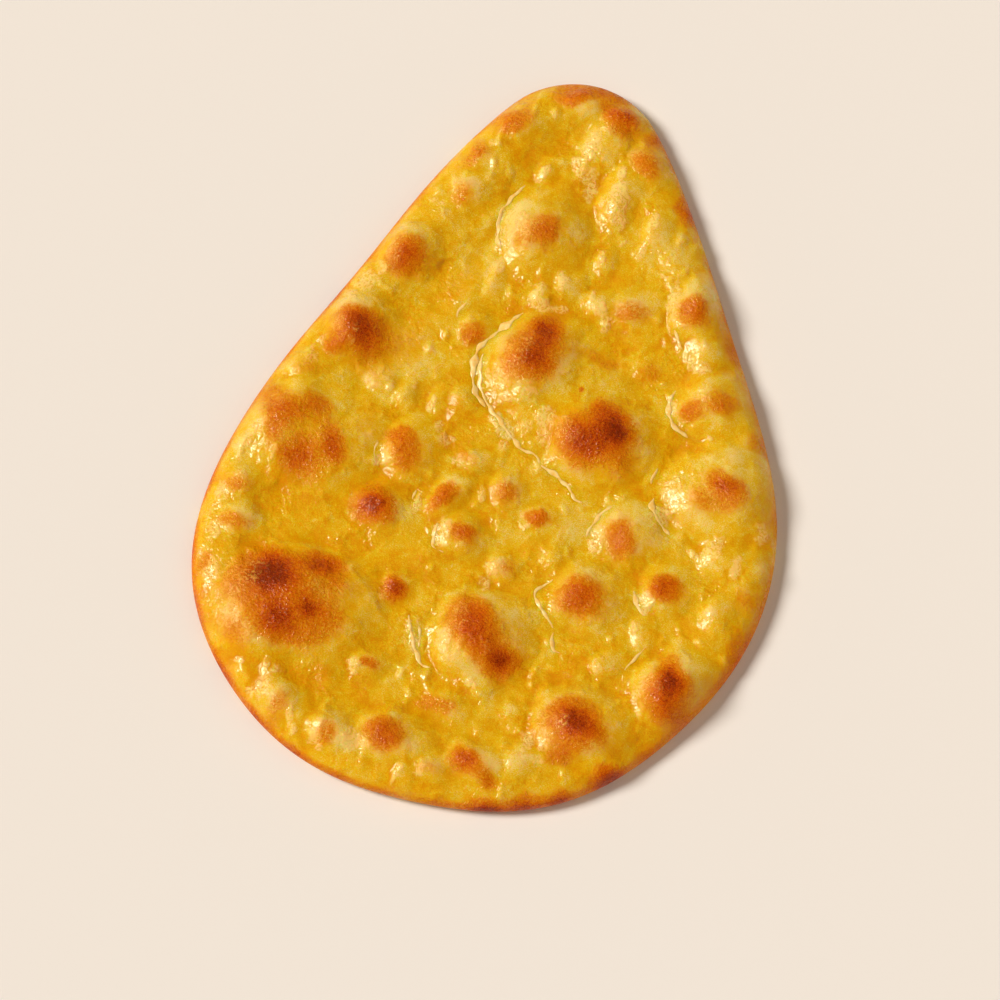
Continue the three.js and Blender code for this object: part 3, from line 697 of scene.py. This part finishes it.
def bead_mesh(width, points, seed):
    """A flat bead along a line, closed at both ends by a point. Each side's reach wavers by
    three waves and runs out at the ends as a square root. A ring's top stands over the crust
    by share * width * sin(turn), and the rest of it is sunk."""
    rng = np.random.default_rng(seed)
    line_x, line_y, along = smooth_path(points, BEAD_STEP)
    ends = np.clip(np.minimum(along, along[-1] - along) / BEAD_END, 0, 1)
    waver = sum(0.45 * np.sin(2 * np.pi * along / wave + rng.uniform(0, 6.3, (2, 1)))
                for wave in BEAD_WAVES)
    sides = 0.02 + width * np.sqrt(ends) * np.clip(0.46 + 0.5 * waver, 0.2, 1.15)
    dx, dy = np.gradient(line_x), np.gradient(line_y)
    size = np.hypot(dx, dy)
    turn = np.arange(BEAD_SPOKES) / BEAD_SPOKES * 2 * np.pi
    across, up = np.cos(turn), np.sin(turn)
    reach = np.where(across > 0, sides[0][:, None], sides[1][:, None]) * across
    x = line_x[:, None] - (dy / size)[:, None] * reach
    y = line_y[:, None] + (dx / size)[:, None] * reach
    high = BEAD_SHARE * sides.sum(0)[:, None] * np.clip(up, 0, 1) - 0.3 * BEAD_SUNK
    z = full_height(x, y) + np.where(up > 1e-9, high, -BEAD_SUNK * (1 + abs(up)))
    grid = np.stack([x, y, z], 2)
    first, last = grid[[0, -1]].mean(1)
    rings = np.arange(1, len(line_x) * BEAD_SPOKES + 1).reshape(-1, BEAD_SPOKES)
    turned = np.roll(rings, -1, 1)
    start, end = np.zeros(BEAD_SPOKES, int), np.full(BEAD_SPOKES, rings[-1, -1] + 1)
    faces = np.concatenate([
        np.stack([rings[0], start, turned[0]], 1), np.stack([rings[-1], turned[-1], end], 1),
        *[band_triangles(ring, after)[:, ::-1] for ring, after in zip(rings, rings[1:])],
    ])
    return np.concatenate([[first], grid.reshape(-1, 3), [last]]), faces


def joined(meshes):
    """Many meshes as one: the points in a row, each mesh's faces counted on from the last."""
    starts = np.cumsum([0] + [len(points) for points, _ in meshes])
    faces = [face + start for (_, face), start in zip(meshes, starts)]
    return np.concatenate([points for points, _ in meshes]), np.concatenate(faces)


# The skin is made round its own middle and then moved over the plain solid's middle.
points, triangles, masks, baking = skin()
low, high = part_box("naan")
middle = (points[:, :2].min(0) + points[:, :2].max(0)) / 2
shift = np.array([(low[0] + high[0]) / 2 / MM, (low[1] + high[1]) / 2 / MM]) - middle
points[:, :2] += shift
bread = make_piece("naan_crust", points, triangles, masks, baking)

beads = [bead_mesh(width, line, BEAD_SEED + i) for i, (width, line) in enumerate(BUTTER_BEADS)]
butter_points, butter_faces = joined(beads)
butter_points[:, :2] += shift
butter = make_piece("melted_butter", butter_points, butter_faces, {})

# ---------------------------------------------------------------- materials


def paint(red, green, blue):
    """A colour from screen values, 0 to 255, to the linear ones that shaders use."""
    levels = np.array([red, green, blue]) / 255
    linear = np.where(levels <= 0.04045, levels / 12.92, ((levels + 0.055) / 1.055) ** 2.4)
    return (*linear.tolist(), 1.0)


class Nodes:
    """Short ways to add and join the nodes of one material."""

    def __init__(self, name):
        self.material = bpy.data.materials.new(name)
        self.material.use_nodes = True
        self.tree = self.material.node_tree
        self.tree.nodes.clear()

    def add(self, kind, settings=None, **inputs):
        """A new node with its settings, and its inputs by name with _ for a space."""
        node = self.tree.nodes.new(kind)
        for key, value in (settings or {}).items():
            setattr(node, key, value)
        for key, value in inputs.items():
            self.feed(node.inputs[key.replace("_", " ")], value)
        return node

    def feed(self, socket, value):
        """Joins an output to the socket, or sets a plain value on it."""
        if isinstance(value, bpy.types.NodeSocket):
            self.tree.links.new(value, socket)
        else:
            socket.default_value = value

    def math(self, operation, first, second=0.0, clamp=False):
        """One operation on two values, kept within 0 and 1 if clamped."""
        node = self.add("ShaderNodeMath", {"operation": operation, "use_clamp": clamp})
        self.feed(node.inputs[0], first)
        self.feed(node.inputs[1], second)
        return node.outputs[0]

    def total(self, *terms):
        """The sum of the terms, each an output, or an output and its weight."""
        parts = [self.math("MULTIPLY", *t) if isinstance(t, tuple) else t for t in terms]
        whole = parts[0]
        for part in parts[1:]:
            whole = self.math("ADD", whole, part)
        return whole

    def left(self, share):
        """What is left of one after the share."""
        return self.math("SUBTRACT", 1.0, share)

    def span(self, value, low, high, to_low=0.0, to_high=1.0):
        """The value's place between low and high, eased, as a number between the other two."""
        node = self.add("ShaderNodeMapRange", {"interpolation_type": "SMOOTHSTEP"}, Value=value)
        for index, number in enumerate((low, high, to_low, to_high), 1):
            node.inputs[index].default_value = number
        return node.outputs["Result"]

    def noise(self, place, size, detail=2.0, roughness=0.5, warp=0.0):
        """Noise whose lumps are about the given size in millimetres, 0 to 1."""
        node = self.add("ShaderNodeTexNoise", Vector=place, Detail=detail, Roughness=roughness,
                        Distortion=warp, Scale=1 / (size * MM))
        return node.outputs["Fac"]

    def veins(self, noise, width):
        """Winding lines: 1 where the noise crosses its middle, down to 0 a width away."""
        away = self.math("ABSOLUTE", self.math("SUBTRACT", noise, 0.5))
        return self.math("SUBTRACT", 1.0, self.math("DIVIDE", away, width), True)

    def ramp(self, value, stops):
        """A colour from the value, by stops of a value and its colour."""
        node = self.add("ShaderNodeValToRGB", Fac=value)
        elements = node.color_ramp.elements
        while len(elements) < len(stops):
            elements.new(0.5)
        for element, (position, color) in zip(elements, stops):
            element.position = position
            element.color = color
        return node.outputs["Color"]

    def mix(self, share, first, second):
        """The first colour where the share is 0, and the second where it is 1."""
        node = self.add("ShaderNodeMix", {"data_type": "RGBA"})
        self.feed(node.inputs[0], share)
        self.feed(node.inputs[6], first)
        self.feed(node.inputs[7], second)
        return node.outputs[2]

    def mask(self, name):
        """What the mesh says at each point under that name."""
        return self.add("ShaderNodeAttribute", {"attribute_name": name}).outputs["Fac"]

    def finish(self, shader):
        """The material, with the shader as its surface."""
        self.add("ShaderNodeOutputMaterial", Surface=shader.outputs["BSDF"])
        return self.material


def buttered_crust():
    """Golden dough with painted shade, amber in the hollows, and painted light, pale on the crests,
    browned by the bake mask, which holds some painted shade too. The butter lies on it as a patchy
    gloss with fine wrinkles and, by the butter mask, as a cream film that is partly a painted
    highlight: crinkled on the dough and broken into granules on a scorch. The underside is dry."""
    n = Nodes("buttered_crust")
    place = n.add("ShaderNodeTexCoord").outputs["Object"]
    bake_and_shade, hollow, butter, under = n.mask("bake_and_shade"), n.mask("hollow"), n.mask("butter"), n.mask("under")

    broad = n.noise(place, 22, 2.0)
    mottle = n.noise(place, 6, 2.0, 0.5, 0.8)
    fleck = n.noise(place, 1.8, 1.0, 0.5, 0.3)
    grain = n.noise(place, 0.95, 1.0, 0.5, 0.3)
    spots = n.math("SUBTRACT", fleck, 0.5)
    speck = n.math("SUBTRACT", grain, 0.5)
    dust = n.math("SUBTRACT", n.noise(place, 0.34, 1.0), 0.5)
    blotch = n.math("SUBTRACT", n.noise(place, 3.0, 4.0, 0.6, 0.5), 0.5)

    # Painted shade and light: the tone falls with the hollow mask, amber in the hollows and paler on
    # the crests.
    tone = n.total((broad, 0.46), (mottle, 0.54), (spots, 0.14), (speck, 0.10), (dust, 0.7),
                   (hollow, -0.20))
    dough = n.ramp(tone, (
        (0.28, paint(224, 154, 0)), (0.42, paint(228, 178, 4)),
        (0.55, paint(231, 193, 32)), (0.74, paint(237, 211, 124)),
    ))
    stir = n.total((blotch, 0.24), (speck, 0.40), (dust, 0.7))
    burn_and_shade = n.math("ADD", bake_and_shade, n.math("MULTIPLY", stir, n.span(bake_and_shade, 0.05, 0.5)), True)
    browned = n.ramp(burn_and_shade, (
        (0.10, paint(230, 163, 1)), (0.30, paint(224, 146, 0)), (0.50, paint(214, 122, 0)),
        (0.66, paint(200, 94, 0)), (0.84, paint(172, 65, 0)), (1.00, paint(128, 40, 0)),
    ))
    colour = n.mix(n.span(burn_and_shade, 0.10, 0.36), dough, browned)

    # The cream film is partly a painted highlight: crinkled glints on the dough, granules on a
    # scorch.
    vein = n.veins(n.noise(place, 2.0, 1.0, 0.5, 1.2), 0.16)
    crinkles = n.span(n.total(vein, (speck, 1.2)), 0.10, 0.55, 0.20, 1.0)
    granules = n.span(n.total(speck, (dust, 0.6)), -0.02, 0.10, 0.0, 0.75)
    scorched = n.span(burn_and_shade, 0.20, 0.45)
    texture = n.total((crinkles, n.left(scorched)), (granules, scorched))
    film_and_highlight = n.math("MULTIPLY", n.span(n.total(butter, (spots, 0.9)), 0.26, 0.70), texture)
    cream_and_highlight = n.ramp(burn_and_shade, ((0.05, paint(254, 219, 132)), (0.32, paint(251, 190, 74))))
    colour = n.mix(n.math("MULTIPLY", film_and_highlight, 0.80), colour, cream_and_highlight)

    flour = n.ramp(mottle, ((0.3, paint(226, 178, 96)), (0.7, paint(240, 206, 138))))
    toasted = n.ramp(burn_and_shade, (
        (0.2, paint(208, 138, 52)), (0.6, paint(150, 82, 30)), (0.9, paint(96, 48, 22)),
    ))
    colour = n.mix(under, colour, n.mix(n.span(burn_and_shade, 0.10, 0.55), flour, toasted))

    rough = n.total(n.span(hollow, -0.6, 0.6, 0.50, 0.40), (film_and_highlight, -0.12), (under, 0.3))
    gloss = n.span(n.noise(place, 9, 3.0, 0.55), 0.36, 0.60, 0.20, 0.85)
    gloss = n.math("MULTIPLY", gloss, n.span(burn_and_shade, 0.08, 0.4, 1.0, 0.45))
    wet = n.math("MAXIMUM", gloss, n.math("MULTIPLY", film_and_highlight, 0.95))
    wet = n.math("MULTIPLY", wet, n.left(under))

    crackle = n.math("MULTIPLY", grain, n.span(burn_and_shade, 0.1, 0.5, 0.12, 0.45))
    wrinkle = n.math("MULTIPLY", fleck, n.span(n.noise(place, 8, 2.0), 0.44, 0.62, 0.10, 0.55))
    height = n.total(crackle, wrinkle, (film_and_highlight, 0.14))
    bump = n.add("ShaderNodeBump", Height=height, Distance=MM, Strength=1.0).outputs["Normal"]

    shader = n.add("ShaderNodeBsdfPrincipled", Base_Color=colour, Roughness=rough,
                   Coat_Weight=wet, Normal=bump, Coat_Normal=bump)
    shader.inputs["IOR"].default_value = 1.45
    shader.inputs["Specular IOR Level"].default_value = 0.1
    shader.inputs["Coat Roughness"].default_value = 0.14
    shader.inputs["Coat IOR"].default_value = 1.45
    shader.inputs["Subsurface Weight"].default_value = 0.8
    shader.inputs["Subsurface Radius"].default_value = (1.0, 0.30, 0.05)
    shader.inputs["Subsurface Scale"].default_value = 0.005
    return n.finish(shader)


def standing_butter():
    """Cloudy yellow butter, a little paler in flecks, with a wet coat."""
    n = Nodes("standing_butter")
    place = n.add("ShaderNodeTexCoord").outputs["Object"]
    cloud = n.noise(place, 1.6, 3.0, 0.6)
    colour = n.ramp(cloud, ((0.35, paint(255, 197, 92)), (0.62, paint(255, 219, 146))))
    bump = n.add("ShaderNodeBump", Height=n.noise(place, 0.9, 2.0), Distance=0.12 * MM)
    shader = n.add("ShaderNodeBsdfPrincipled", Base_Color=colour, Normal=bump.outputs["Normal"],
                   Roughness=n.span(cloud, 0.3, 0.7, 0.32, 0.44))
    shader.inputs["Coat Weight"].default_value = 0.4
    shader.inputs["Coat Roughness"].default_value = 0.12
    shader.inputs["Specular IOR Level"].default_value = 0.3
    shader.inputs["Subsurface Weight"].default_value = 0.3
    shader.inputs["Subsurface Radius"].default_value = (1.0, 0.6, 0.2)
    shader.inputs["Subsurface Scale"].default_value = 0.001
    return n.finish(shader)


def plain_floor():
    """A matt, pale studio floor."""
    n = Nodes("pale_floor")
    shader = n.add("ShaderNodeBsdfPrincipled", Roughness=0.8, Base_Color=paint(240, 239, 243))
    return n.finish(shader)


bread.data.materials.append(buttered_crust())
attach(bread, "root")
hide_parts("naan")
butter.data.materials.append(standing_butter())
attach(butter, "root")

# ---------------------------------------------------------------- floor, light and camera

FLOOR_HALF = 6.0
floor_mesh = bpy.data.meshes.new("floor")
floor_mesh.from_pydata(
    [(sx * FLOOR_HALF, sy * FLOOR_HALF, 0) for sx, sy in ((-1, -1), (1, -1), (1, 1), (-1, 1))],
    [], [(0, 1, 2, 3)])
floor_mesh.materials.append(plain_floor())
floor = bpy.data.objects.new("floor", floor_mesh)
bpy.context.scene.collection.objects.link(floor)

VIEW_TURN, VIEW_RISE = math.radians(15), math.radians(71.5)
# The lens, in millimetres, and the width that it takes in where it aims, in metres.
LENS, FRAME_WIDTH = 240.0, 0.330
AIM = Vector((0.0006, -0.0215, 0.004))


def direction(turn, rise):
    """Unit vector towards a turn, 0 on the camera's side of the view and growing to the left
    of the picture, at a rise above the floor."""
    a = VIEW_TURN - turn
    return Vector((math.sin(a) * math.cos(rise), -math.cos(a) * math.cos(rise), math.sin(rise)))


def soft_light(name, turn, rise, spread, strength, color, shines):
    """A far lamp whose disc is as wide as the spread, in degrees. Only the key shines in the
    butter; the fill just lifts the shade."""
    light = bpy.data.lights.new(name, "SUN")
    light.angle = math.radians(spread)
    light.energy, light.color = strength, color
    lamp = bpy.data.objects.new(name, light)
    out = direction(math.radians(turn), math.radians(rise))
    lamp.rotation_euler = (-out).to_track_quat("-Z", "Y").to_euler()
    lamp.visible_glossy = shines
    bpy.context.scene.collection.objects.link(lamp)


soft_light("key", 100, 46, 22, 3.12, (1.0, 0.92, 0.78), True)
soft_light("fill", -60, 50, 90, 0.85, (1.0, 0.78, 0.56), False)


def studio_world():
    """A pale wall of light round the horizon that fades to a dim, warm ceiling."""
    world = bpy.data.worlds.new("studio")
    world.use_nodes = True
    tree = world.node_tree
    place = tree.nodes.new("ShaderNodeTexCoord")
    parts = tree.nodes.new("ShaderNodeSeparateXYZ")
    tree.links.new(place.outputs["Generated"], parts.inputs[0])
    up = tree.nodes.new("ShaderNodeMapRange")
    up.interpolation_type = "SMOOTHSTEP"
    up.inputs["From Min"].default_value, up.inputs["From Max"].default_value = 0.02, 0.34
    tree.links.new(parts.outputs["Z"], up.inputs["Value"])
    mix = tree.nodes.new("ShaderNodeMix")
    mix.data_type = "RGBA"
    tree.links.new(up.outputs["Result"], mix.inputs[0])
    mix.inputs[6].default_value = (0.86, 0.76, 0.64, 1)
    mix.inputs[7].default_value = (0.07, 0.06, 0.048, 1)
    tree.links.new(mix.outputs[2], tree.nodes["Background"].inputs["Color"])
    return world


bpy.context.scene.world = studio_world()

camera_data = bpy.data.cameras.new("camera")
camera_data.lens = LENS
camera = bpy.data.objects.new("camera", camera_data)
bpy.context.scene.collection.objects.link(camera)
back = direction(0, VIEW_RISE)
camera.location = AIM + back * (FRAME_WIDTH * LENS / camera_data.sensor_width)
camera.rotation_euler = (-back).to_track_quat("-Z", "Y").to_euler()
camera_data.clip_start, camera_data.clip_end = 0.05, 50
bpy.context.scene.camera = camera
bpy.context.scene.view_settings.view_transform = "Standard"
